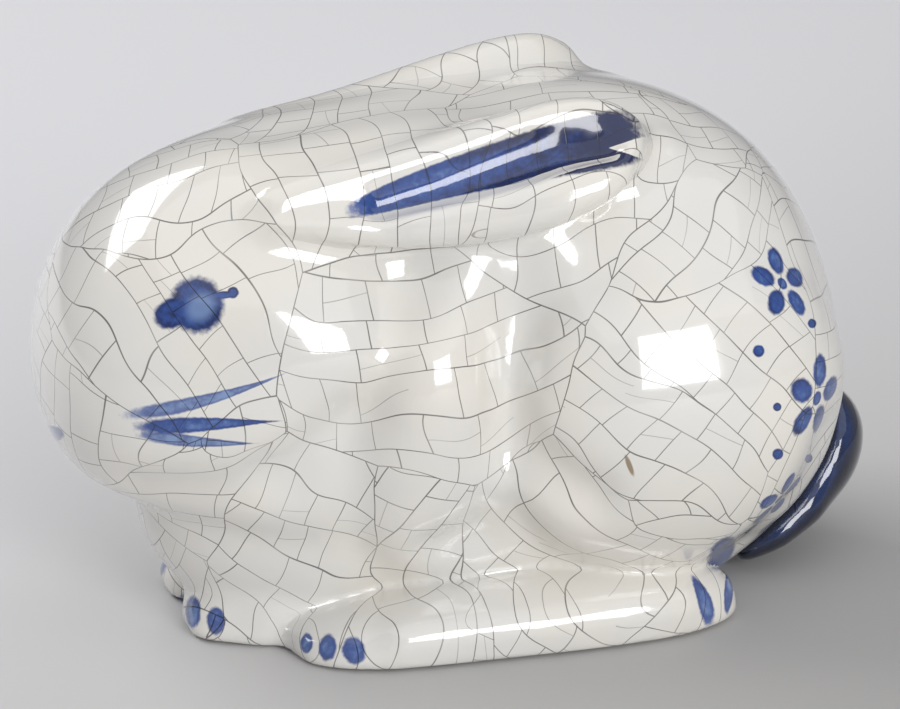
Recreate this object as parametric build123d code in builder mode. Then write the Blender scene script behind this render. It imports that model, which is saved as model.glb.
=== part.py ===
"""A crouching rabbit in glazed ceramic, laid out as the potter joins it before firing.

A hollow slip-cast body (head, trunk, shoulders and haunches in one casting, with a pour hole in
the underside) carries solid pressed pieces that are stuck on with slip: two ears laid along the
back, two fore paws, two hind feet and the tail. Each stuck-on piece is cut to the body's own
skin, so that it seats on it face to face.

Millimetres. The nose points along -X, the rabbit's left is -Y and +Z is up. The origin is on
the surface that the rabbit stands on, under the middle of its length.
"""

import os
from math import copysign, cos, radians, sin
from typing import NamedTuple

from build123d import *

# The casting, from the front of the face to the rump
NOSE_X = -66.0
BODY_LENGTH = 125.0
BODY_WIDTH = 65.0
BODY_HEIGHT = 80.0
GIRTH_HEIGHT = 33.0

# The casting's wall, and the hole that the slip was poured and drained through
WALL = 5.0
POUR_HOLE_DIAMETER = 14.0
POUR_HOLE_X = 8.0

# Chest, an egg lying below the throat, set back from the front of the face
CHEST_SETBACK = 15.0
CHEST_LENGTH = 55.0
CHEST_WIDTH = 42.0
CHEST_MIDDLE = 19.0

# Shoulders, an upright egg on each side behind the cheeks
SHOULDER_X = -11.0
SHOULDER_SPREAD = 58.0
SHOULDER_DIAMETER = 38.0
SHOULDER_HEIGHT = 60.0
SHOULDER_MIDDLE = 36.0

# Haunches, a ball flattened from side to side on each side of the rump
HAUNCH_X = 26.5
HAUNCH_SPREAD = 75.0
HAUNCH_DIAMETER = 60.0
HAUNCH_THICKNESS = 46.0
HAUNCH_MIDDLE = 35.0

# Ears, laid back along the head: bearings lean out from straight up, seen along the body
EAR_LENGTH = 58.0
EAR_WIDTH = 18.0
EAR_THICKNESS = 9.0
EAR_SETBACK = 31.0
EAR_ROOT_BEARING = 26.5
EAR_TIP_BEARING = 22.0
EAR_ROOT_DEPTH = 2.0
EAR_TIP_LIFT = 5.0
EAR_HOLLOW_WIDTH = 10.0
EAR_HOLLOW_DEPTH = 2.4
EAR_HOLLOW_RISE = 1.8

# Hind feet, flat on the standing surface, each tucked in under its haunch's outermost line
HIND_FOOT_LENGTH = 67.5
HIND_FOOT_WIDTH = 21.0
HIND_FOOT_HEIGHT = 10.5
HIND_FOOT_SETBACK = 36.0
HIND_FOOT_TUCK = 5.3

# Fore paws, side by side under the chest
FORE_PAW_LENGTH = 27.0
FORE_PAW_WIDTH = 15.5
FORE_PAW_HEIGHT = 10.0
FORE_PAW_SETBACK = 20.5

# Tail, a drop-shaped scut lying against the rump
TAIL_LENGTH = 31.0
TAIL_WIDTH = 22.0
TAIL_THICKNESS = 18.0
TAIL_HEIGHT = 13.0

# Roundness of the cross-sections: 1 is an ellipse, smaller is squarer
FULLNESS = 0.9
FOOT_FULLNESS = 0.75
OVAL_POINTS = 16


class Station(NamedTuple):
    """One upright cross-section of the casting, as shares of its length, width and height."""

    along: float
    width: float
    bottom: float
    widest: float
    top: float


class Swell(NamedTuple):
    """One cross-section of a stuck-on piece, as shares of its length, width and thickness."""

    along: float
    width: float
    thickness: float


# The casting's cross-sections from the front of the face to the rump: where the bottom is below
# zero, the form runs under the standing surface and is cut flat there
BODY_STATIONS = [
    Station(along=0.000, width=0.138, bottom=0.475, widest=0.525, top=0.581),
    Station(along=0.012, width=0.354, bottom=0.412, widest=0.525, top=0.650),
    Station(along=0.060, width=0.631, bottom=0.312, widest=0.537, top=0.800),
    Station(along=0.152, width=0.785, bottom=0.237, widest=0.550, top=0.912),
    Station(along=0.264, width=0.831, bottom=0.125, widest=0.525, top=0.963),
    Station(along=0.376, width=0.754, bottom=0.000, widest=0.475, top=0.988),
    Station(along=0.480, width=0.800, bottom=-0.050, widest=0.412, top=1.000),
    Station(along=0.568, width=0.815, bottom=-0.050, widest=0.412, top=1.000),
    Station(along=0.728, width=1.000, bottom=-0.037, widest=0.412, top=0.988),
    Station(along=0.864, width=0.923, bottom=0.037, widest=0.425, top=0.900),
    Station(along=0.952, width=0.677, bottom=0.163, widest=0.438, top=0.738),
    Station(along=0.988, width=0.385, bottom=0.263, widest=0.425, top=0.562),
    Station(along=1.000, width=0.138, bottom=0.350, widest=0.412, top=0.475),
]

EAR_SWELLS = [
    Swell(along=0.00, width=0.20, thickness=0.25),
    Swell(along=0.10, width=0.45, thickness=0.60),
    Swell(along=0.35, width=0.75, thickness=0.90),
    Swell(along=0.62, width=1.00, thickness=1.00),
    Swell(along=0.84, width=0.98, thickness=0.95),
    Swell(along=0.95, width=0.66, thickness=0.70),
    Swell(along=1.00, width=0.25, thickness=0.30),
]

TAIL_SWELLS = [
    Swell(along=0.00, width=0.15, thickness=0.15),
    Swell(along=0.08, width=0.35, thickness=0.35),
    Swell(along=0.30, width=0.70, thickness=0.65),
    Swell(along=0.62, width=1.00, thickness=1.00),
    Swell(along=0.84, width=0.88, thickness=0.88),
    Swell(along=0.95, width=0.58, thickness=0.58),
    Swell(along=1.00, width=0.20, thickness=0.20),
]

# The haunch from bottom to top: both ends are inside the casting
HAUNCH_SWELLS = [
    Swell(along=0.03, width=0.34, thickness=0.34),
    Swell(along=0.10, width=0.60, thickness=0.60),
    Swell(along=0.25, width=0.87, thickness=0.87),
    Swell(along=0.50, width=1.00, thickness=1.00),
    Swell(along=0.75, width=0.87, thickness=0.87),
    Swell(along=0.90, width=0.60, thickness=0.60),
    Swell(along=0.97, width=0.34, thickness=0.34),
]

# A foot from its low toes to its heel
FOOT_SWELLS = [
    Swell(along=0.00, width=0.35, thickness=0.25),
    Swell(along=0.05, width=0.68, thickness=0.52),
    Swell(along=0.20, width=0.93, thickness=0.78),
    Swell(along=0.45, width=1.00, thickness=0.97),
    Swell(along=0.80, width=0.96, thickness=1.00),
    Swell(along=0.95, width=0.68, thickness=0.78),
    Swell(along=1.00, width=0.35, thickness=0.40),
]


def oval_face(plane, half_width, drop, rise, fullness=FULLNESS):
    """A closed oval about a plane's origin, with its own reach below and above its widest line."""
    points = []
    for index in range(OVAL_POINTS):
        angle = radians(360 / OVAL_POINTS * index + 90)
        across = copysign(abs(cos(angle)) ** fullness, cos(angle))
        upward = copysign(abs(sin(angle)) ** fullness, sin(angle))
        points.append((half_width * across, (rise if upward > 0 else drop) * upward))
    with BuildSketch(plane) as section:
        with BuildLine():
            Spline(*points, periodic=True)
        make_face()
    return section.sketch.face()


def body_sections(stations, wall=0.0):
    """Cross-sections of the casting, drawn in by a wall all round and at both ends."""
    sections = []
    for station in stations:
        x = NOSE_X + wall + (BODY_LENGTH - 2 * wall) * station.along
        widest = BODY_HEIGHT * station.widest
        plane = Plane(origin=(x, 0, widest), x_dir=(0, 1, 0), z_dir=(1, 0, 0))
        drop = widest - BODY_HEIGHT * station.bottom - wall
        rise = BODY_HEIGHT * station.top - widest - wall
        sections.append(oval_face(plane, BODY_WIDTH * station.width / 2 - wall, drop, rise))
    return sections


def swell_face(centre, across, along, width, thickness, fullness=FULLNESS):
    """A cross-section of a stuck-on piece, with its width along one direction, square to another."""
    plane = Plane(origin=centre, x_dir=across, z_dir=along)
    return oval_face(plane, width / 2, thickness / 2, thickness / 2, fullness)


def foot_sections(front, middle, length, width, height):
    """Cross-sections of a foot from its toes to its heel, about a line on the standing surface."""
    sections = []
    for swell in FOOT_SWELLS:
        centre = (front + length * swell.along, middle, 0)
        thickness = 2 * height * swell.thickness
        sections.append(swell_face(centre, (0, 1, 0), (1, 0, 0), width * swell.width, thickness, FOOT_FULLNESS))
    return sections


def skin_point(start, direction):
    """The point where a ray from inside the casting leaves it, and the way that its skin faces."""
    ray = Axis(start, direction)
    hits = [hit for face in body_form.faces() for hit in face.find_intersection_points(ray)]
    return max(hits, key=lambda hit: (hit[0] - Vector(start)).dot(Vector(direction)))


def ear_seat(along):
    """The skin under the left ear's midline at a share of its length, and the way that it faces."""
    x = NOSE_X + EAR_SETBACK + EAR_LENGTH * along
    bearing = radians(EAR_ROOT_BEARING + (EAR_TIP_BEARING - EAR_ROOT_BEARING) * along)
    return skin_point((x, 0, GIRTH_HEIGHT), (0, -sin(bearing), cos(bearing)))


def ear_middle(along):
    """The middle of the left ear's thickness: sunk in the skin at its root, proud of it at its tip."""
    skin, facing = ear_seat(along)
    return skin + facing * (EAR_TIP_LIFT * along - EAR_ROOT_DEPTH * (1 - along))


# Head and trunk, whole
with BuildPart() as body_form:
    loft(sections=body_sections(BODY_STATIONS))

# The hollow that the drained slip leaves: the same form drawn in, with a flat floor
with BuildPart() as cavity:
    loft(sections=body_sections(BODY_STATIONS[1:-1], WALL))
    split(bisect_by=Plane.XY.offset(WALL), keep=Keep.TOP)

with BuildPart() as chest:
    chest_centre = (NOSE_X + CHEST_SETBACK + CHEST_LENGTH / 2, 0, CHEST_MIDDLE)
    with BuildSketch(Plane(origin=chest_centre, x_dir=(1, 0, 0), z_dir=(0, -1, 0))):
        Ellipse(CHEST_LENGTH / 2, CHEST_WIDTH / 2)
        Rectangle(CHEST_LENGTH, CHEST_WIDTH, align=(Align.CENTER, Align.MAX), mode=Mode.SUBTRACT)
    revolve(axis=Axis(chest_centre, (1, 0, 0)))

with BuildPart() as left_shoulder:
    shoulder_centre = (SHOULDER_X, (SHOULDER_DIAMETER - SHOULDER_SPREAD) / 2, SHOULDER_MIDDLE)
    with BuildSketch(Plane(origin=shoulder_centre, x_dir=(1, 0, 0), z_dir=(0, -1, 0))):
        Ellipse(SHOULDER_DIAMETER / 2, SHOULDER_HEIGHT / 2)
        Rectangle(SHOULDER_DIAMETER, SHOULDER_HEIGHT, align=(Align.MAX, Align.CENTER), mode=Mode.SUBTRACT)
    revolve(axis=Axis(shoulder_centre, (0, 0, 1)))

with BuildPart() as left_haunch:
    haunch_middle = (HAUNCH_THICKNESS - HAUNCH_SPREAD) / 2
    haunch_sections = []
    for swell in HAUNCH_SWELLS:
        centre = (HAUNCH_X, haunch_middle, HAUNCH_MIDDLE + HAUNCH_DIAMETER * (swell.along - 0.5))
        width = HAUNCH_DIAMETER * swell.width
        thickness = HAUNCH_THICKNESS * swell.thickness
        haunch_sections.append(swell_face(centre, (1, 0, 0), (0, 0, 1), width, thickness))
    loft(sections=haunch_sections)

# The body's skin, which the stuck-on pieces are cut to
with BuildPart() as outer_skin:
    add(body_form.part)
    add(chest.part)
    for side_form in (left_shoulder.part, left_haunch.part):
        add(side_form)
        mirror(side_form, about=Plane.XZ)

with BuildPart() as body_shell:
    add(outer_skin.part)
    split(bisect_by=Plane.XY, keep=Keep.TOP)
    add(cavity.part, mode=Mode.SUBTRACT)
    with Locations((POUR_HOLE_X, 0, 0)):
        Cylinder(POUR_HOLE_DIAMETER / 2, 3 * WALL, mode=Mode.SUBTRACT)
body_shell.part.label = "body_shell"

# Left ear, a leaf along the skin, and the shallow trough in its outer face
ear_along = (ear_middle(1) - ear_middle(0)).normalized()
ear_sections = []
trough_sections = []
for swell in EAR_SWELLS:
    middle = ear_middle(swell.along)
    facing = ear_seat(swell.along)[1]
    across = ear_along.cross(facing)
    thickness = EAR_THICKNESS * swell.thickness
    ear_sections.append(swell_face(middle, across, ear_along, EAR_WIDTH * swell.width, thickness))
    rim = middle + facing * thickness / 2 - across * EAR_HOLLOW_RISE * swell.width
    trough_width = EAR_HOLLOW_WIDTH * swell.width
    trough_depth = 2 * EAR_HOLLOW_DEPTH * swell.thickness
    trough_sections.append(swell_face(rim, across, ear_along, trough_width, trough_depth))

with BuildPart() as ear_trough:
    loft(sections=trough_sections)

with BuildPart() as ear_form:
    loft(sections=ear_sections)
    add(ear_trough.part, mode=Mode.SUBTRACT)

with BuildPart() as left_ear:
    add(ear_form.part)
    add(outer_skin.part, mode=Mode.SUBTRACT)
left_ear.part.label = "left_ear"

with BuildPart() as right_ear:
    mirror(ear_form.part, about=Plane.XZ)
    add(outer_skin.part, mode=Mode.SUBTRACT)
right_ear.part.label = "right_ear"

# Hind feet and fore paws, cut to the skin and flat on the standing surface
with BuildPart() as hind_foot_form:
    foot_front = NOSE_X + HIND_FOOT_SETBACK
    foot_middle = (HIND_FOOT_WIDTH - HAUNCH_SPREAD) / 2 + HIND_FOOT_TUCK
    loft(sections=foot_sections(foot_front, foot_middle, HIND_FOOT_LENGTH, HIND_FOOT_WIDTH, HIND_FOOT_HEIGHT))

with BuildPart() as left_hind_foot:
    add(hind_foot_form.part)
    add(outer_skin.part, mode=Mode.SUBTRACT)
    split(bisect_by=Plane.XY, keep=Keep.TOP)
left_hind_foot.part.label = "left_hind_foot"

with BuildPart() as right_hind_foot:
    loft(sections=foot_sections(foot_front, -foot_middle, HIND_FOOT_LENGTH, HIND_FOOT_WIDTH, HIND_FOOT_HEIGHT))
    add(outer_skin.part, mode=Mode.SUBTRACT)
    split(bisect_by=Plane.XY, keep=Keep.TOP)
right_hind_foot.part.label = "right_hind_foot"

with BuildPart() as fore_paw_form:
    paw_front = NOSE_X + FORE_PAW_SETBACK
    paw_middle = -FORE_PAW_WIDTH / 2
    loft(sections=foot_sections(paw_front, paw_middle, FORE_PAW_LENGTH, FORE_PAW_WIDTH, FORE_PAW_HEIGHT))
    add(hind_foot_form.part, mode=Mode.SUBTRACT)
    split(bisect_by=Plane.XZ, keep=Keep.TOP)

with BuildPart() as left_fore_paw:
    add(fore_paw_form.part)
    add(outer_skin.part, mode=Mode.SUBTRACT)
    split(bisect_by=Plane.XY, keep=Keep.TOP)
left_fore_paw.part.label = "left_fore_paw"

with BuildPart() as right_fore_paw:
    mirror(fore_paw_form.part, about=Plane.XZ)
    add(outer_skin.part, mode=Mode.SUBTRACT)
    split(bisect_by=Plane.XY, keep=Keep.TOP)
right_fore_paw.part.label = "right_fore_paw"

# Tail, a drop along the slope of the rump
with BuildPart() as tail:
    tail_seat, tail_facing = skin_point((0, 0, TAIL_HEIGHT), (1, 0, 0))
    tail_across = Vector(0, 1, 0)
    tail_along = tail_facing.cross(tail_across)
    tail_low = tail_seat - tail_along * TAIL_LENGTH / 2
    tail_sections = []
    for swell in TAIL_SWELLS:
        centre = tail_low + tail_along * TAIL_LENGTH * swell.along
        width = TAIL_WIDTH * swell.width
        thickness = TAIL_THICKNESS * swell.thickness
        tail_sections.append(swell_face(centre, tail_across, tail_along, width, thickness))
    loft(sections=tail_sections)
    add(outer_skin.part, mode=Mode.SUBTRACT)
    split(bisect_by=Plane.XY, keep=Keep.TOP)
tail.part.label = "tail"

os.makedirs("parts", exist_ok=True)
export_step(body_shell.part, "parts/body_shell.step")
export_step(left_ear.part, "parts/left_ear.step")
export_step(right_ear.part, "parts/right_ear.step")
export_step(left_hind_foot.part, "parts/left_hind_foot.step")
export_step(right_hind_foot.part, "parts/right_hind_foot.step")
export_step(left_fore_paw.part, "parts/left_fore_paw.step")
export_step(right_fore_paw.part, "parts/right_fore_paw.step")
export_step(tail.part, "parts/tail.step")
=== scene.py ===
"""Looks for the crouching ceramic rabbit: its glazed skin, crackle, brushwork, camera and light.

The glaze runs over the joints between the casting and the stuck-on pieces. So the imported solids
are turned into signed distances on one grid, melted together where they meet, and cut back into
one piece for each solid. Work on the grid is in millimetres, and Blender's objects are in metres.
"""

import math

import bpy
import numpy as np
import openvdb
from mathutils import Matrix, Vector


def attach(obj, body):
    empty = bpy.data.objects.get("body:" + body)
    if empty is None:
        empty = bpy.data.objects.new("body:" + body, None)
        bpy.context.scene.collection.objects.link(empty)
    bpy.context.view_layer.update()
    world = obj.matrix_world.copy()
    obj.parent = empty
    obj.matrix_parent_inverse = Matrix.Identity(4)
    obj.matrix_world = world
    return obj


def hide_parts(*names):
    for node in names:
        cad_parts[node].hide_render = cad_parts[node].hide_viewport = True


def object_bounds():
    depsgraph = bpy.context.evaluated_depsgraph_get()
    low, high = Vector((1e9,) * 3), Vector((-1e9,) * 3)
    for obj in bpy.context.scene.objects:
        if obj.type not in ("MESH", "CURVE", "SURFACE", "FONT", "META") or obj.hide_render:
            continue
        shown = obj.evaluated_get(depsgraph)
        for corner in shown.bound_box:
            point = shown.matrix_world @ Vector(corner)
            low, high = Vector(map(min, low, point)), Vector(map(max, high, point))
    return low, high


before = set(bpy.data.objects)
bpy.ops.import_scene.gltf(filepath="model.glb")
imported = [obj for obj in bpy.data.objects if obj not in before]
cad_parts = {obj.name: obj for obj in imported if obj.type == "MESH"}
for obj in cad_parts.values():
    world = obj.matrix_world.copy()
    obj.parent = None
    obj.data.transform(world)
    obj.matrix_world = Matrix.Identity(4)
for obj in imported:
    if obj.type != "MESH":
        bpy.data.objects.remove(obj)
cad_low, cad_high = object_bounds()

MM_PER_METRE = 1000.0

# The photograph's frame, and where its camera stands round the object
IMAGE_WIDTH = 900
IMAGE_HEIGHT = 709
CAMERA_AZIMUTH = -15.8
CAMERA_ELEVATION = 22.0
CAMERA_DISTANCE = 800.0
MM_PER_PIXEL = 0.1535
ORIGIN_PIXEL = (458, 581)
AIM_HEIGHT = 40.0
SENSOR_WIDTH = 36
CLIP_START = 0.01

azimuth = math.radians(CAMERA_AZIMUTH)
elevation = math.radians(CAMERA_ELEVATION)
WORLD_UP = Vector((0, 0, 1))
VIEW_RIGHT = Vector((math.cos(azimuth), math.sin(azimuth), 0))
VIEW_BACK = WORLD_UP * math.sin(elevation) + VIEW_RIGHT.cross(WORLD_UP) * math.cos(elevation)
VIEW_UP = VIEW_BACK.cross(VIEW_RIGHT)

# The grid of distances: its step, how many steps of distance are kept, and its margin
VOXEL = 0.66
BAND = 18
MARGIN = 8.0
GRID_LOW = np.floor((np.array(cad_low) * MM_PER_METRE - MARGIN) / VOXEL).astype(int)
GRID_HIGH = np.ceil((np.array(cad_high) * MM_PER_METRE + MARGIN) / VOXEL).astype(int)
GRID_SHAPE = tuple(GRID_HIGH - GRID_LOW)
GRID_CORNER = tuple(int(i) for i in GRID_LOW)
FAR = BAND * VOXEL
xs, ys, zs = (
    np.arange(low, high, dtype=np.float32) * np.float32(VOXEL) for low, high in zip(GRID_LOW, GRID_HIGH)
)
X, Y, Z = np.meshgrid(xs, ys, zs, indexing="ij", sparse=True)

# Glaze and brush colours
GLAZE_WARM = (0.80, 0.77, 0.71, 1)
GLAZE_COOL = (0.76, 0.75, 0.72, 1)
CRACK_STAIN = (0.2, 0.19, 0.19)
COBALT_PALE = (0.20, 0.30, 0.52, 1)
COBALT_WASH = (0.15, 0.26, 0.52, 1)
COBALT_MIDDLE = (0.028, 0.075, 0.29, 1)
COBALT_DEEP = (0.006, 0.014, 0.075, 1)
FLECK = (0.24, 0.16, 0.07, 1)
# The tail's dark blue, and the lighter blue painted on its side that faces up and forward, as painted light
NAVY_DEEP = (0.004, 0.006, 0.02, 1)
NAVY_PAINTED_LIT = (0.014, 0.045, 0.17, 1)

# Gloss of the glazes, and how far the white one waves and dips at a crack
GLAZE_ROUGHNESS = 0.13
NAVY_ROUGHNESS = 0.12
COAT_WEIGHT = 1.0
COAT_ROUGHNESS = 0.03
WAVE_GRAIN = 11.0
WAVE_HEIGHT = 0.35
CRACK_HEIGHT = -0.02
BUMP_STRENGTH = 0.35
BUMP_DISTANCE = 0.001

# The way that the tail faces where it is painted a lighter blue, as painted light
NAVY_PAINTED_LIT_WAY = (0.0, -0.82, 0.57)

# Cracks: the size of a patch of them, the gap between its long ones, the least gap between its
# short ones and how much wider it can be, and how far all of them stray
CRACK_PATCH = 30.0
CRACK_ROW = 5.4
CRACK_STEP = 4.2
CRACK_STEP_SPREAD = 3.0
CRACK_BOW = 0.03
DRIFT_GRAIN = 15.0
DRIFT = 8.0

# The share of short cracks that are left out, and of cells with a finer crack along them
SHORT_LEFT_OUT = 0.16
FINE_SHARE = 0.3

# Half the width of a crack, where it is full and where it ends
LONG_CRACK = (0.04, 0.13)
SHORT_CRACK = (0.04, 0.11)
FINE_CRACK = (0.03, 0.09)

# A line inside the body that the patches of cracks are turned round, by its middle and how much
# the length of the body counts
CRACK_AXIS = (-2.0, 0.0, 38.0)
CRACK_AXIS_SCALE = (0.3, 1.0, 1.0)

# Random draws: where the numbers of each kind start, how many a row has, and the middle of a draw
ROW_DRAWS = 50.0
SHORT_DRAWS = 900.0
CELL_DRAWS = 3000.0
NUMBERS_PER_ROW = 17.0
MIDDLE_DRAW = (0.5, 0.5, 0.5)

# A rosette's petals, and its middle dot, against the size of a petal
PETALS = 5
PETAL_MIDDLE = 1.45
PETAL_HALF_LENGTH = 0.85
PETAL_HALF_WIDTH = 0.62
ROSETTE_DOT = 0.38

# The floor, painted darker at the front and lighter at the back along a way as painted shade and light, and
# the light that comes from all round
FLOOR_HALF = 4
FLOOR_SHADED_FRONT = (0.45, 0.445, 0.435, 1)
FLOOR_LIT_BACK = (0.79, 0.79, 0.81, 1)
FLOOR_SHADE_WAY = (-0.45, 1.0, 0.0)
FLOOR_SHADE_RANGE = (-130.0, 200.0)
FLOOR_ROUGHNESS = 0.7
WORLD_COLOUR = (0.26, 0.26, 0.27, 1)

# Lamps: the way to each from the object, its width, its height and its power
LAMP_DISTANCE = 0.9
LAMP_AIM_HEIGHT = 0.04
LAMPS = (
    ((0.2, -0.93, 0.3), 0.44, 0.44, 4.6),
    ((-0.54, 0.47, 0.68), 0.7, 0.42, 4.2),
    ((0.1, -0.3, 0.95), 1.4, 1.4, 3.2),
)

# The stuck-on pieces under white glaze
WHITE_NODES = (
    "left_ear",
    "right_ear",
    "left_hind_foot",
    "right_hind_foot",
    "left_fore_paw",
    "right_fore_paw",
)

# The pour hole in the underside, and how deep under the skin the hollow can start
POUR_HOLE_X = 8.0
POUR_HOLE_REACH = 9.0
POUR_HOLE_TOP = 6
HOLLOW_START = 2.4
FILLING = 2

# How far creases are softened, joints filled and the lower edge rounded, and how fast a piece dips
# under the next one
CASTING_SOFTNESS = 1.8
PIECE_SOFTNESS = 0.7
FOOT_FILLET = 1.8
PAW_FILLET = 6.0
BASE_ROUNDING = 2.0
DIP_RATE = 0.12

# The joint of an ear is filled more on its inner side, and at its tip
EAR_FILLET = 2.0
EAR_FILLET_EXTRA = 10.0
EAR_INNER_Y = 22
EAR_INNER_FADE = 6
EAR_TIP_X = 14
EAR_TIP_X_FADE = 8
EAR_TIP_Y = 25
EAR_TIP_Y_FADE = 3

# Touches that model the casting, and later the skin over all the white pieces. Each has a path on
# one side, which is mirrored to the other, then its spread, and how far it presses the form in, or
# swells it out where negative.
CHEEK_VALLEY = [
    (-14.5, 22, 62),
    (-16, 24.5, 52),
    (-17.5, 25.5, 47),
    (-21, 25.5, 41.5),
    (-27.5, 26, 36.5),
    (-34, 26, 32),
]
EAR_RECESS = [
    (-40, 19, 66),
    (-28, 20, 65),
    (-20, 20, 64.5),
    (-8, 20.5, 65),
    (2, 21.5, 66),
    (10, 23, 67.5),
]
EAR_CHANNEL = [
    (-17, 19.6, 70.6),
    (-8, 19.4, 72.6),
    (2, 19.6, 75.2),
    (10, 20.4, 77.2),
    (17, 22, 77.2),
]
CASTING_TOUCHES = [
    # The valley behind the cheek, its top, and the swell behind that
    (CHEEK_VALLEY, 3.5, 2.4),
    ([(-15.5, 23, 59)], 5.0, 1.3),
    ([(3, 22, 65.5)], 6.5, -3.4),
    # The crease below the chin
    ([(-34, 26, 31), (-44, 23, 29), (-54, 18, 28.5)], 3.5, 1.6),
    # The valley before the haunch, the dips at its lower end and before the knee, and the knee
    ([(2.5, 23, 61), (1, 25.5, 48), (0.5, 26.5, 41), (1.5, 28, 34)], 3.5, 2.2),
    ([(6, 32, 29.5), (11, 33.5, 26.5)], 3.0, 1.8),
    ([(-10, 24.5, 17), (-4, 24.5, 18)], 3.0, 1.6),
    ([(-3, 26, 29), (3, 29, 26), (9, 30, 20)], 3.5, -1.0),
    # The dip behind the tip of the ear, and the recess below the ear
    ([(24, 24, 71), (31, 24, 69)], 5.0, 1.6),
    (EAR_RECESS, 6.0, 1.8),
    # The cheek, the flat round the eye, the shoulder and the foreleg
    ([(-21, 25.5, 50)], 7.0, -2.6),
    ([(-45, 23, 54)], 9.0, 2.0),
    ([(-9, 27.5, 44)], 7.5, -2.2),
    ([(-14, 26, 32), (-17, 25, 22)], 5.0, -0.8),
    # The dip between the ears, and the lower edge of the rump
    ([(0, 0, 81), (-28, 0, 78)], 5.0, 0.9),
    ([(39, 26, 12), (43, 28, 16.5), (47.5, 28, 22), (50, 28, 29)], 4.5, 1.8),
]
SKIN_TOUCHES = [
    # The channel along the ear, and its wider end
    (EAR_CHANNEL, 1.7, 1.7),
    ([(5, 19.8, 76.2), (10, 20.4, 77.4), (15, 21.6, 77.4)], 2.6, 1.0),
    # The tip of the ear, its lower rim, and the skin behind its tip
    ([(25, 22, 79)], 4.0, 2.2),
    ([(-12, 23.6, 67.5), (2, 25.6, 69.5), (12, 27, 71.5), (19, 27, 72)], 3.0, -0.7),
    ([(24, 18, 76), (28, 17, 75)], 3.5, -1.5),
    # The joint between the paws, and the upper edge of the hind foot
    ([(-34, 17, 1.5), (-30.5, 20, 1.5)], 3.5, -2.2),
    ([(-17, 31, 6), (5, 33, 6), (27, 31.5, 6)], 2.6, -1.4),
]

# The path of one lower end of the tail, how it is joined on, how far the tail enters the casting,
# and how its edges are rounded there and at the floor
TAIL_END = [(43, 10, 5.5), (48, 10.5, 7.5), (53, 9.5, 10.5), (57, 5, 14)]
TAIL_END_RADIUS = 4.2
TAIL_END_REACH = 12.0
TAIL_END_FILLET = 6.0
TAIL_SOFTNESS = 1.2
TAIL_OVERLAP = 0.3
TAIL_EDGE_ROUNDING = 8.0
TAIL_BASE_ROUNDING = 1.5


def triangles_of(mesh):
    """A mesh's points in millimetres and its triangles, as arrays."""
    mesh.calc_loop_triangles()
    points = np.empty(len(mesh.vertices) * 3, np.float32)
    mesh.vertices.foreach_get("co", points)
    corners = np.empty(len(mesh.loop_triangles) * 3, np.int32)
    mesh.loop_triangles.foreach_get("vertices", corners)
    return points.reshape(-1, 3) * MM_PER_METRE, corners.reshape(-1, 3)


def distances(points, **faces):
    """Signed distances from a closed mesh over the whole grid, negative inside the mesh."""
    scale = openvdb.createLinearTransform(VOXEL)
    grid = openvdb.FloatGrid.createLevelSetFromPolygons(points, transform=scale, halfWidth=BAND, **faces)
    values = np.full(GRID_SHAPE, FAR, np.float32)
    grid.copyToArray(values, ijk=GRID_CORNER)
    return values


def skin_mesh(values):
    """The points and four-sided faces of the surface where the distance is zero."""
    grid = openvdb.FloatGrid(FAR)
    grid.copyFromArray(values, ijk=GRID_CORNER)
    grid.transform = openvdb.createLinearTransform(VOXEL)
    return grid.convertToQuads(0.0)


def blurred(values, sigma):
    """Distances averaged with their neighbours, which rounds the creases."""
    reach = int(math.ceil(3 * sigma / VOXEL))
    offsets = np.arange(-reach, reach + 1)
    weights = np.exp(-0.5 * (offsets * VOXEL / sigma) ** 2)
    weights = weights / weights.sum()
    for axis in range(3):
        padding = [(0, 0)] * 3
        padding[axis] = (reach, reach)
        padded = np.pad(values, padding, mode="edge")
        length = values.shape[axis]
        values = np.zeros_like(values)
        for offset, weight in zip(offsets, weights):
            start = reach + offset
            window = [slice(None)] * 3
            window[axis] = slice(start, start + length)
            values += np.float32(weight) * padded[tuple(window)]
    return values


def melted(first, second, radius):
    """Two distances joined with a fillet."""
    near = np.maximum(radius - np.abs(first - second), 0) / radius
    return np.minimum(first, second) - near * near * near * np.float32(radius / 6)


def trimmed(values, room, rounding):
    """The part of a form where another distance is positive, with a rounded edge."""
    return -melted(-values, room, rounding)


def dipped(values, past):
    """A skin that dips inwards by how far a place is past the piece's own joints."""
    return values + past * past * np.float32(DIP_RATE)


def mirrored(path):
    """A path's two mirror images, one for each side."""
    return [[(x, side * y, z) for x, y, z in path] for side in (-1, 1)]


def from_path(path, reach):
    """The part of the grid near a path, and the distance from the path there."""
    path = np.array(path, np.float32)
    low = np.maximum(np.floor((path.min(0) - reach) / VOXEL).astype(int) - GRID_LOW, 0)
    high = np.minimum(np.ceil((path.max(0) + reach) / VOXEL).astype(int) - GRID_LOW, GRID_SHAPE)
    room = tuple(slice(a, b) for a, b in zip(low, high))
    place = np.stack(np.meshgrid(xs[room[0]], ys[room[1]], zs[room[2]], indexing="ij"), axis=-1)
    nearest_square = np.full(place.shape[:3], np.float32(np.inf))
    for start, end in zip(path, np.concatenate([path[1:], path[-1:]])):
        along = end - start
        share = np.clip((place - start) @ along / max(along @ along, 1e-6), 0, 1)
        gap = place - start - share[..., None] * along
        nearest_square = np.minimum(nearest_square, (gap * gap).sum(-1))
    return room, np.sqrt(nearest_square)


def touch(values, touches):
    """Presses a form in or swells it out along paths, on both sides."""
    for path, spread, press in touches:
        for side_path in mirrored(path):
            room, distance = from_path(side_path, 3 * spread)
            values[room] += np.float32(press) * np.exp(-0.5 * (distance / np.float32(spread)) ** 2)


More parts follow.
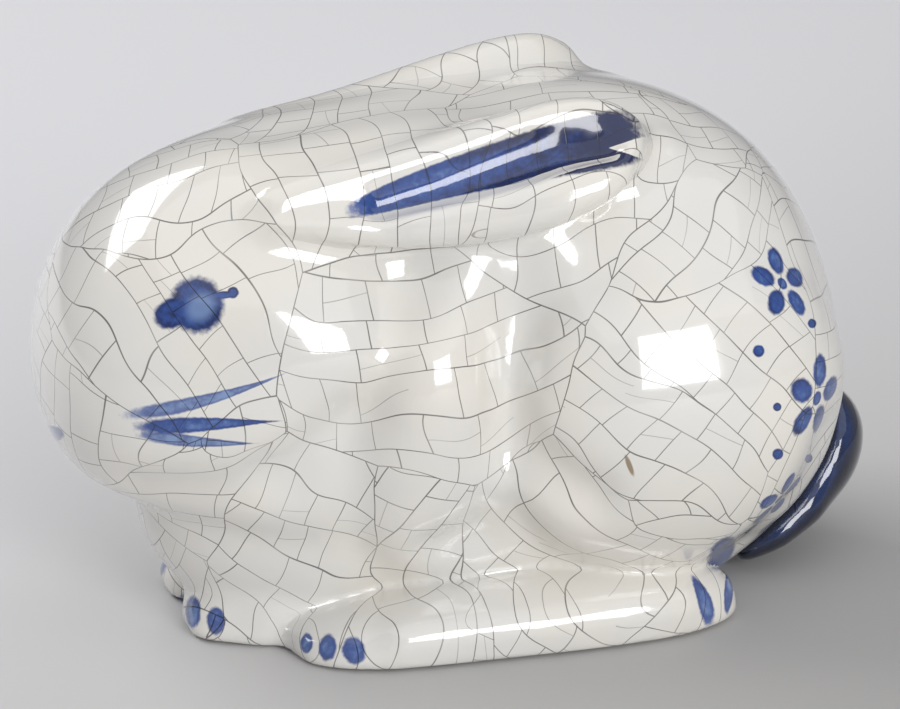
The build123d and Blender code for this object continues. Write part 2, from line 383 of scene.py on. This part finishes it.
def between_sides(values):
    """True from the first solid place to the last one along each line from side to side."""
    filled = values < 0
    from_left = np.maximum.accumulate(filled, axis=1)
    from_right = np.maximum.accumulate(filled[:, ::-1], axis=1)[:, ::-1]
    return from_left & from_right


def kind_of(node):
    """A node's name without its side."""
    return node.split("_", 1)[1]


def add_piece(name, values, material, node):
    """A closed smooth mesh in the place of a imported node."""
    points, quads = skin_mesh(values)
    mesh = bpy.data.meshes.new(name)
    mesh.from_pydata((points / MM_PER_METRE).tolist(), [], quads[:, ::-1].tolist())
    mesh.validate()
    mesh.shade_smooth()
    mesh.materials.append(material)
    piece = bpy.data.objects.new(name, mesh)
    bpy.context.scene.collection.objects.link(piece)
    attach(piece, "root")
    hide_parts(node)


class Graph:
    """One new material, with short ways to add and join its nodes."""

    def __init__(self, name):
        self.material = bpy.data.materials.new(name)
        self.material.use_nodes = True
        self.tree = self.material.node_tree

    def put(self, value, socket):
        """Joins a node's output to a socket, or sets the socket to a plain value."""
        if isinstance(value, bpy.types.NodeSocket):
            self.tree.links.new(value, socket)
        else:
            socket.default_value = value

    def fill(self, made, values):
        """Gives a node its inputs by name, with an underscore for each space in a name."""
        for key, value in values.items():
            self.put(value, made.inputs[key.replace("_", " ")])

    def surface(self, **values):
        """Gives the material's surface its inputs by name, and returns the material."""
        self.fill(self.tree.nodes["Principled BSDF"], values)
        return self.material

    def node(self, kind, settings=None, **values):
        """Adds a node with its settings and its inputs by name."""
        made = self.tree.nodes.new("ShaderNode" + kind)
        for key, value in (settings or {}).items():
            setattr(made, key, value)
        self.fill(made, values)
        return made

    def maths(self, operation, *values):
        """Arithmetic on numbers."""
        made = self.node("Math", {"operation": operation})
        for socket, value in zip(made.inputs, values):
            self.put(value, socket)
        return made.outputs[0]

    def vectors(self, operation, *values):
        """Arithmetic on vectors."""
        made = self.node("VectorMath", {"operation": operation})
        for socket, value in zip(made.inputs, values):
            self.put(value, socket)
        return made.outputs["Value" if operation == "DOT_PRODUCT" else "Vector"]

    def scaled(self, vector, factor):
        """A vector times a number."""
        made = self.node("VectorMath", {"operation": "SCALE"}, Scale=factor)
        self.put(vector, made.inputs[0])
        return made.outputs[0]

    def parts(self, vector):
        """A vector's three numbers."""
        return self.node("SeparateXYZ", None, Vector=vector).outputs

    def length(self, first, second):
        """The distance over two runs that are square to each other."""
        squares = [self.maths("MULTIPLY", run, run) for run in (first, second)]
        return self.maths("SQRT", self.maths("ADD", *squares))

    def least(self, values):
        """The smallest of several numbers."""
        smallest = values[0]
        for value in values[1:]:
            smallest = self.maths("MINIMUM", smallest, value)
        return smallest

    def ramp(self, value, low, high, at_low=0.0, at_high=1.0):
        """A value's smooth passage from one level to another."""
        made = self.node("MapRange", {"interpolation_type": "SMOOTHSTEP"}, Value=value)
        self.fill(made, {"From_Min": low, "From_Max": high, "To_Min": at_low, "To_Max": at_high})
        return made.outputs[0]

    def noise(self, place, grain, detail=2.0):
        """Cloudy noise with features of a size in millimetres."""
        return self.node("TexNoise", None, Vector=place, Scale=1 / grain, Detail=detail)

    def mixed(self, factor, first, second):
        """One colour laid over another. The node's colours have numbers, as their names repeat."""
        made = self.node("Mix", {"data_type": "RGBA"})
        for number, value in ((0, factor), (6, first), (7, second)):
            self.put(value, made.inputs[number])
        return made.outputs[2]

    def chance(self, seed, number):
        """A random colour for each seed and number."""
        made = self.node("TexWhiteNoise", {"noise_dimensions": "4D"}, Vector=seed, W=number)
        return made.outputs["Color"]

    def place(self):
        """The place on the object, in millimetres."""
        return self.scaled(self.node("TexCoord").outputs["Object"], MM_PER_METRE)

    def facing(self):
        """The way that the surface faces."""
        return self.node("NewGeometry").outputs["Normal"]


def crackle(graph, place):
    """Strength of the glaze's cracks: patches of long cracks, with shorter ones that end on them."""
    facing = graph.facing()

    def evened(distance, direction):
        """A distance along a direction, as it is along the skin."""
        lean = graph.vectors("DOT_PRODUCT", direction, facing)
        level = graph.maths("SUBTRACT", 1.0, graph.maths("MULTIPLY", lean, lean))
        return graph.maths("DIVIDE", distance, graph.maths("SQRT", graph.maths("MAXIMUM", level, 0.1)))

    drift = graph.vectors("SUBTRACT", graph.noise(place, DRIFT_GRAIN, 0.5).outputs["Color"], MIDDLE_DRAW)
    place = graph.vectors("ADD", place, graph.scaled(drift, DRIFT))
    patch = graph.node("TexVoronoi", {"feature": "F1"}, Vector=place, Scale=1 / CRACK_PATCH).outputs
    other = graph.node("TexVoronoi", {"feature": "F2"}, Vector=place, Scale=1 / CRACK_PATCH).outputs
    seed = patch["Color"]
    # Cracks between the patches
    apart = graph.vectors("NORMALIZE", graph.vectors("SUBTRACT", other["Position"], patch["Position"]))
    wall = graph.scaled(graph.vectors("ADD", other["Position"], patch["Position"]), 0.5)
    gap = graph.vectors("DOT_PRODUCT", apart, graph.vectors("SUBTRACT", wall, place))
    border = evened(gap, apart)
    # Two directions along the skin for each patch
    spine = graph.vectors("MULTIPLY", patch["Position"], CRACK_AXIS_SCALE)
    outward = graph.vectors("NORMALIZE", graph.vectors("SUBTRACT", spine, CRACK_AXIS))
    tilt = graph.vectors("SUBTRACT", seed, MIDDLE_DRAW)
    first = graph.vectors("NORMALIZE", graph.vectors("CROSS_PRODUCT", outward, tilt))
    second = graph.vectors("CROSS_PRODUCT", outward, first)
    local = graph.vectors("SUBTRACT", place, patch["Position"])
    u = graph.vectors("DOT_PRODUCT", local, first)
    v = graph.vectors("DOT_PRODUCT", local, second)
    bend = graph.vectors("SUBTRACT", graph.chance(seed, 0.0), MIDDLE_DRAW)
    bow = graph.parts(graph.scaled(bend, CRACK_BOW))[0]
    u = graph.maths("MULTIPLY_ADD", graph.maths("MULTIPLY", v, v), bow, u)
    # Long cracks side by side
    rows = graph.maths("DIVIDE", u, CRACK_ROW)
    row = graph.maths("FLOOR", rows)
    in_row = graph.maths("SUBTRACT", rows, row)
    long = evened(graph.maths("MULTIPLY", graph.maths("PINGPONG", in_row, 0.5), CRACK_ROW), first)
    # Short cracks across each row, some of them left out
    draw = graph.parts(graph.chance(seed, graph.maths("ADD", row, ROW_DRAWS)))
    width = graph.maths("MULTIPLY_ADD", draw[0], CRACK_STEP_SPREAD, CRACK_STEP)
    columns = graph.maths("MULTIPLY_ADD", draw[1], 9.0, graph.maths("DIVIDE", v, width))
    line = graph.maths("ROUND", columns)
    across = graph.maths("MULTIPLY", graph.maths("ABSOLUTE", graph.maths("SUBTRACT", columns, line)), width)
    number = graph.maths("MULTIPLY_ADD", row, NUMBERS_PER_ROW, line)
    draw = graph.parts(graph.chance(seed, graph.maths("ADD", number, SHORT_DRAWS)))
    left_out = graph.maths("LESS_THAN", draw[0], SHORT_LEFT_OUT)
    short = graph.maths("ADD", evened(across, second), left_out)
    # A finer crack along some of the cells
    cell = graph.maths("MULTIPLY_ADD", row, NUMBERS_PER_ROW, graph.maths("FLOOR", columns))
    draw = graph.parts(graph.chance(seed, graph.maths("ADD", cell, CELL_DRAWS)))
    place_in_row = graph.maths("MULTIPLY_ADD", draw[1], 0.3, 0.35)
    slant = graph.maths("MULTIPLY", graph.maths("SUBTRACT", graph.maths("FRACT", columns), 0.5), 0.25)
    fine = graph.maths("SUBTRACT", graph.maths("ADD", in_row, slant), place_in_row)
    fine = graph.maths("MULTIPLY", graph.maths("ABSOLUTE", fine), CRACK_ROW)
    left_out = graph.maths("GREATER_THAN", draw[0], FINE_SHARE)
    fine = graph.maths("ADD", evened(fine, first), left_out)
    # The strongest crack at each place
    long = graph.ramp(graph.maths("MINIMUM", border, long), *LONG_CRACK, 1.0, 0.0)
    short = graph.ramp(short, *SHORT_CRACK, 0.95, 0.0)
    fine = graph.ramp(fine, *FINE_CRACK, 0.6, 0.0)
    return graph.maths("MAXIMUM", long, graph.maths("MAXIMUM", short, fine))


def egg(graph, place, centre, along, half_length, half_width, taper=0.0, bend=0.0, power=2.0):
    """How far a place is from the middle of a brush dab: 1 on its edge.

    The dab lies square to the camera of the photograph, and its direction is a run to the right and
    a rise. A taper thins the end that the direction points to, and a bend lifts both ends. A higher
    power squares the ends.
    """
    along = (VIEW_RIGHT * along[0] + VIEW_UP * along[1]).normalized()
    across = VIEW_BACK.cross(along)
    local = graph.vectors("SUBTRACT", place, centre)
    s = graph.vectors("DOT_PRODUCT", local, tuple(along / half_length))
    t = graph.vectors("DOT_PRODUCT", local, tuple(across / half_width))
    if bend:
        t = graph.maths("MULTIPLY_ADD", graph.maths("MULTIPLY", s, s), -bend / half_width, t)
    if taper:
        share = graph.maths("MULTIPLY_ADD", s, -taper, 1.0)
        t = graph.maths("DIVIDE", t, graph.maths("MAXIMUM", share, 0.05))
    terms = [graph.maths("POWER", graph.maths("ABSOLUTE", term), power) for term in (s, t)]
    return graph.maths("POWER", graph.maths("ADD", *terms), 1 / power)


def rosette(graph, place, centre, facing, petal):
    """How far a place is from the nearest of five petals and a dot in their middle: 1 on an edge."""
    along = Vector(facing).orthogonal().normalized()
    across = Vector(facing).cross(along).normalized()
    local = graph.vectors("SUBTRACT", place, centre)
    p = graph.vectors("DOT_PRODUCT", local, tuple(along))
    q = graph.vectors("DOT_PRODUCT", local, tuple(across))
    out = graph.length(p, q)
    half_turn = math.pi / PETALS
    turn = graph.maths("WRAP", graph.maths("ARCTAN2", q, p), half_turn, -half_turn)
    run = graph.maths("MULTIPLY", out, graph.maths("COSINE", turn))
    rise = graph.maths("MULTIPLY", out, graph.maths("SINE", turn))
    s = graph.maths("DIVIDE", graph.maths("SUBTRACT", run, PETAL_MIDDLE * petal), PETAL_HALF_LENGTH * petal)
    t = graph.maths("DIVIDE", rise, PETAL_HALF_WIDTH * petal)
    dot = graph.maths("DIVIDE", out, ROSETTE_DOT * petal)
    return graph.maths("MINIMUM", graph.length(s, t), dot)


def brushed(graph, place, colour, edge, depth, strength=1.0, fray=0.3):
    """A colour with brushed cobalt on it, which pools near its edges.

    Depth is how dark the cobalt is, strength how well it covers, and fray how uneven its edges are.
    """
    grain = graph.noise(place, 0.8, 3.0).outputs["Fac"]
    cloud = graph.noise(place, 3.0, 2.0).outputs["Fac"]
    ragged = graph.maths("MULTIPLY_ADD", graph.maths("SUBTRACT", grain, 0.5), fray, edge)
    mask = graph.ramp(ragged, 1.0 - fray / 2, 1.0 + fray / 2, strength, 0.0)
    pooled = graph.ramp(ragged, 0.4, 0.85, -0.12, 0.12)
    clouded = graph.maths("ADD", graph.maths("MULTIPLY_ADD", cloud, 0.8, -0.4), pooled)
    grained = graph.maths("MULTIPLY_ADD", grain, 0.5, -0.25)
    tone = graph.maths("ADD", grained, graph.maths("ADD", clouded, depth))
    cobalt = graph.mixed(graph.ramp(tone, 0.0, 0.5), COBALT_WASH, COBALT_MIDDLE)
    cobalt = graph.mixed(graph.ramp(tone, 0.45, 1.0), cobalt, COBALT_DEEP)
    return graph.mixed(mask, colour, cobalt)


def glazed(name, paint):
    """White crackle glaze, with brushwork that a function puts on both sides alike."""
    graph = Graph(name)
    place = graph.place()
    cloud = graph.noise(place, 24.0, 3.0).outputs["Fac"]
    colour = graph.mixed(graph.ramp(cloud, 0.35, 0.7), GLAZE_COOL, GLAZE_WARM)
    x, y, z = graph.parts(place)
    left_y = graph.maths("MULTIPLY", graph.maths("ABSOLUTE", y), -1.0)
    left_place = graph.node("CombineXYZ", None, X=x, Y=left_y, Z=z).outputs[0]
    colour = paint(graph, left_place, colour)
    fade = graph.ramp(graph.noise(place, 9.0).outputs["Fac"], 0.25, 0.6, 0.55, 1.0)
    crack = graph.maths("MULTIPLY", crackle(graph, place), fade)
    stained = graph.vectors("MULTIPLY", colour, CRACK_STAIN)
    waves = graph.noise(place, WAVE_GRAIN, 1.0).outputs["Fac"]
    height = graph.maths("MULTIPLY_ADD", crack, CRACK_HEIGHT, graph.maths("MULTIPLY", waves, WAVE_HEIGHT))
    bump = graph.node("Bump", None, Strength=BUMP_STRENGTH, Distance=BUMP_DISTANCE, Height=height)
    return graph.surface(
        Base_Color=graph.mixed(crack, colour, stained),
        Roughness=GLAZE_ROUGHNESS,
        Coat_Weight=COAT_WEIGHT,
        Coat_Roughness=COAT_ROUGHNESS,
        Normal=bump.outputs[0],
    )


def paint_body(graph, place, colour):
    """Eye, whiskers and nose, small rosettes on the rump, a dab over the heel and a fleck."""
    pale_whiskers = [
        egg(graph, place, (-45.7, -25.6, 45.3), (153, 40), 11.6, 0.85, taper=0.75, bend=0.75),
        egg(graph, place, (-46.9, -24.6, 38.4), (112, -9), 8.4, 0.78, taper=0.7, bend=0.4),
    ]
    colour = brushed(graph, place, colour, graph.least(pale_whiskers), depth=0.3, strength=0.9)
    dark_whisker = egg(graph, place, (-45.5, -25.6, 41.4), (136, 6), 10.2, 0.98, taper=0.75)
    colour = brushed(graph, place, colour, dark_whisker, depth=0.5)
    eye = [
        egg(graph, place, (-46.2, -22.6, 59.2), (1, 0.3), 3.9, 4.1),
        egg(graph, place, (-49.5, -21.7, 58.0), (1, 0.5), 3.0, 2.2),
        egg(graph, place, (-40.9, -23.2, 60.8), (1, 0), 0.85, 0.85),
        egg(graph, place, (-42.4, -23.0, 60.5), (1, 0.1), 2.2, 0.55),
    ]
    colour = brushed(graph, place, colour, graph.least(eye), depth=0.68)
    iris = egg(graph, place, (-45.7, -22.9, 58.9), (1, 0.8), 2.5, 2.1)
    colour = graph.mixed(graph.ramp(iris, 0.4, 1.3, 0.75, 0.0), colour, COBALT_PALE)
    nose = egg(graph, place, (-65.0, -5.0, 33.8), (1, 0), 2.4, 1.2)
    colour = brushed(graph, place, colour, nose, depth=0.5)
    flowers = [
        rosette(graph, place, (43.0, -27.5, 55.0), (0.45, -0.78, 0.43), 2.5),
        rosette(graph, place, (47.0, -31.5, 37.5), (0.55, -0.82, 0.1), 2.9),
        rosette(graph, place, (42.5, -31.0, 20.5), (0.45, -0.75, -0.45), 2.4),
    ]
    colour = brushed(graph, place, colour, graph.least(flowers), depth=0.55)
    dots = [
        egg(graph, place, centre, (0, 1), radius, radius)
        for centre, radius in (
            ((37.0, -33.5, 47.0), 0.9),
            ((47.5, -27.5, 48.0), 0.7),
            ((39.5, -35.5, 38.5), 0.65),
            ((40.0, -34.8, 30.5), 0.85),
            ((46.5, -31.3, 27.5), 0.7),
        )
    ]
    colour = brushed(graph, place, colour, graph.least(dots), depth=0.6)
    heel = egg(graph, place, (33.9, -28.2, 12.0), (0.5, 1), 2.9, 2.0)
    colour = brushed(graph, place, colour, heel, depth=0.55)
    fleck = egg(graph, place, (16.6, -34.8, 31.4), (-0.4, 1), 1.7, 0.4)
    return graph.mixed(graph.ramp(fleck, 0.7, 1.2, 0.85, 0.0), colour, FLECK)


def paint_ear(graph, place, colour):
    """One broad stroke along the hollow of the ear, with a split end, on the outer side only."""
    stroke = egg(
        graph, place, (0.2, -19.2, 75.0), (290, 78), 22.2, 3.3, taper=-0.5, bend=-1.0, power=5.0
    )
    split = egg(graph, place, (20.5, -23.0, 77.2), (-1, 0), 4.5, 1.3, taper=0.9)
    stroke = graph.maths("ADD", stroke, graph.ramp(split, 0.4, 1.1, 0.6, 0.0))
    side = graph.maths("SIGN", graph.parts(graph.place())[1])
    outward = graph.maths("MULTIPLY", graph.parts(graph.facing())[1], side)
    stroke = graph.maths("ADD", stroke, graph.ramp(outward, -0.1, 0.15, 2.0, 0.0))
    along = graph.vectors("DOT_PRODUCT", place, tuple(VIEW_RIGHT))
    depth = graph.ramp(along, -15.0, 22.0, 0.42, 0.95)
    return brushed(graph, place, colour, stroke, depth, fray=0.12)


def paint_hind_foot(graph, place, colour):
    """Toes, and strokes down the heel."""
    toes = [
        egg(graph, place, (-30.0, -22.2, 2.5), (0.1, 1), 1.5, 0.95),
        egg(graph, place, (-27.9, -26.6, 3.4), (0.1, 1), 2.0, 1.35),
        egg(graph, place, (-24.5, -29.1, 3.6), (-0.3, 1), 2.1, 1.7),
    ]
    colour = brushed(graph, place, colour, graph.least(toes), depth=0.38, strength=0.95)
    heel = [
        egg(graph, place, (30.6, -29.6, 5.3), (-0.35, 1), 3.9, 1.1, taper=0.3, bend=0.5),
        egg(graph, place, (35.6, -26.6, 5.0), (0.1, 1), 3.6, 0.75),
    ]
    return brushed(graph, place, colour, graph.least(heel), depth=0.45, strength=0.95)


def paint_fore_paw(graph, place, colour):
    """Toes."""
    toes = [
        egg(graph, place, (-45.8, 6.0, 1.5), (0.1, 1), 2.0, 0.8),
        egg(graph, place, (-44.8, -10.1, 4.1), (0, 1), 2.4, 1.25),
        egg(graph, place, (-42.1, -13.8, 3.9), (0, 1), 2.1, 1.4),
    ]
    return brushed(graph, place, colour, graph.least(toes), depth=0.38, strength=0.95)


def navy_glaze():
    """Dark blue glaze, painted a speckled lighter blue where it faces one way, as painted light."""
    graph = Graph("navy_glaze")
    place = graph.place()
    speckle = graph.noise(place, 0.7, 4.0).outputs["Fac"]
    cloud = graph.noise(place, 5.0, 3.0).outputs["Fac"]
    # Painted light: the side that faces up and forward is painted a lighter, speckled blue
    lean = graph.vectors("DOT_PRODUCT", graph.facing(), NAVY_PAINTED_LIT_WAY)
    painted_lit_side = graph.ramp(lean, 0.68, 0.98)
    mottle = graph.maths("MULTIPLY_ADD", speckle, 1.1, graph.maths("MULTIPLY_ADD", cloud, 0.8, -0.45))
    tone = graph.maths("MULTIPLY", painted_lit_side, mottle)
    return graph.surface(
        Base_Color=graph.mixed(tone, NAVY_DEEP, NAVY_PAINTED_LIT),
        Roughness=NAVY_ROUGHNESS,
        Coat_Weight=COAT_WEIGHT,
        Coat_Roughness=COAT_ROUGHNESS,
    )


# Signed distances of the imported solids
solid = {}
for name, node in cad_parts.items():
    points, triangles = triangles_of(node.data)
    solid[name] = distances(points, triangles=triangles)

# The casting without its hollow, with soft creases and touches
shell = solid["body_shell"]
inside = between_sides(shell) & (shell > 0)
points, quads = skin_mesh(np.where(inside, np.float32(-FILLING), shell))
outer = distances(points, quads=quads[:, ::-1])
body = blurred(outer, CASTING_SOFTNESS)
touch(body, CASTING_TOUCHES)

# The hollow and the pour hole
in_hole = (X - POUR_HOLE_X) ** 2 + Y**2 + np.maximum(Z - POUR_HOLE_TOP, 0) ** 2 < POUR_HOLE_REACH**2
hollow = np.where(in_hole | (outer < -HOLLOW_START), shell, np.float32(-FAR))

# The skin over the casting and the stuck-on pieces, down to the floor
limbs = {name: blurred(solid[name], PIECE_SOFTNESS) for name in WHITE_NODES}
inner_side = np.clip((EAR_INNER_Y - np.abs(Y)) / EAR_INNER_FADE, 0, 1)
ear_end = np.clip((X - EAR_TIP_X) / EAR_TIP_X_FADE, 0, 1)
ear_tip = ear_end * np.clip((EAR_TIP_Y - np.abs(Y)) / EAR_TIP_Y_FADE, 0, 1)
ear_fillet = EAR_FILLET + EAR_FILLET_EXTRA * np.maximum(inner_side, ear_tip)
fillets = {"ear": ear_fillet, "hind_foot": FOOT_FILLET, "fore_paw": PAW_FILLET}
whole = body
for name in WHITE_NODES:
    whole = melted(whole, limbs[name], fillets[kind_of(name)])
touch(whole, SKIN_TOUCHES)
whole = trimmed(whole, Z, BASE_ROUNDING)

# One piece for each solid: past its joint with another piece, it dips under that piece
paints = {"ear": paint_ear, "hind_foot": paint_hind_foot, "fore_paw": paint_fore_paw}
glazes = {kind: glazed(kind + "_glaze", paint) for kind, paint in paints.items()}
for name in WHITE_NODES:
    past = np.maximum(limbs[name] - body, 0)
    for other in WHITE_NODES:
        if other != name:
            past = np.maximum(past, limbs[name] - limbs[other])
    add_piece(name + "_glazed", dipped(whole, past), glazes[kind_of(name)], name)
past = np.zeros_like(body)
for name in WHITE_NODES:
    past = np.maximum(past, body - limbs[name])
casting = np.maximum(dipped(whole, past), hollow)
add_piece("body_shell_glazed", casting, glazed("body_glaze", paint_body), "body_shell")

# The tail
tail = blurred(solid["tail"], PIECE_SOFTNESS)
for path in mirrored(TAIL_END):
    room, distance = from_path(path, TAIL_END_REACH)
    tail[room] = melted(tail[room], distance - np.float32(TAIL_END_RADIUS), TAIL_END_FILLET)
tail = blurred(tail, TAIL_SOFTNESS)
tail = trimmed(tail, body + np.float32(TAIL_OVERLAP), TAIL_EDGE_ROUNDING)
tail = trimmed(tail, Z, TAIL_BASE_ROUNDING)
add_piece("tail_glazed", tail, navy_glaze(), "tail")

# Camera
aim = VIEW_RIGHT * (IMAGE_WIDTH / 2 - ORIGIN_PIXEL[0]) * MM_PER_PIXEL
aim += VIEW_UP * (ORIGIN_PIXEL[1] - IMAGE_HEIGHT / 2) * MM_PER_PIXEL
aim += VIEW_BACK * (Vector((0, 0, AIM_HEIGHT)) - aim).dot(VIEW_BACK)
camera = bpy.data.objects.new("camera", bpy.data.cameras.new("camera"))
camera.location = (aim + VIEW_BACK * CAMERA_DISTANCE) / MM_PER_METRE
camera.rotation_mode = "QUATERNION"
camera.rotation_quaternion = (-VIEW_BACK).to_track_quat("-Z", "Y")
camera.data.sensor_width = SENSOR_WIDTH
camera.data.lens = SENSOR_WIDTH * CAMERA_DISTANCE / (IMAGE_WIDTH * MM_PER_PIXEL)
camera.data.clip_start = CLIP_START
bpy.context.scene.collection.objects.link(camera)
bpy.context.scene.camera = camera

# Floor
corners = [(FLOOR_HALF * x, FLOOR_HALF * y, 0) for x, y in ((-1, -1), (1, -1), (1, 1), (-1, 1))]
mesh = bpy.data.meshes.new("floor")
mesh.from_pydata(corners, [], [(0, 1, 2, 3)])
floor = bpy.data.objects.new("floor", mesh)
bpy.context.scene.collection.objects.link(floor)
graph = Graph("floor")
# Painted shade and light: the floor is painted darker towards the front and right, and lighter towards the
# back and left
fade = graph.ramp(graph.vectors("DOT_PRODUCT", graph.place(), FLOOR_SHADE_WAY), *FLOOR_SHADE_RANGE)
shade = graph.mixed(fade, FLOOR_SHADED_FRONT, FLOOR_LIT_BACK)
mesh.materials.append(graph.surface(Base_Color=shade, Roughness=FLOOR_ROUGHNESS))

# Light
world = bpy.data.worlds.new("world")
bpy.context.scene.world = world
world.use_nodes = True
world.node_tree.nodes["Background"].inputs["Color"].default_value = WORLD_COLOUR
for way, width, height, power in LAMPS:
    lamp = bpy.data.objects.new("lamp", bpy.data.lights.new("lamp", "AREA"))
    lamp.data.shape = "RECTANGLE"
    lamp.data.size = width
    lamp.data.size_y = height
    lamp.data.energy = power
    lamp.location = Vector(way) * LAMP_DISTANCE + Vector((0, 0, LAMP_AIM_HEIGHT))
    lamp.rotation_mode = "QUATERNION"
    lamp.rotation_quaternion = (-Vector(way)).to_track_quat("-Z", "Y")
    bpy.context.scene.collection.objects.link(lamp)

bpy.context.scene.view_settings.view_transform = "Standard"
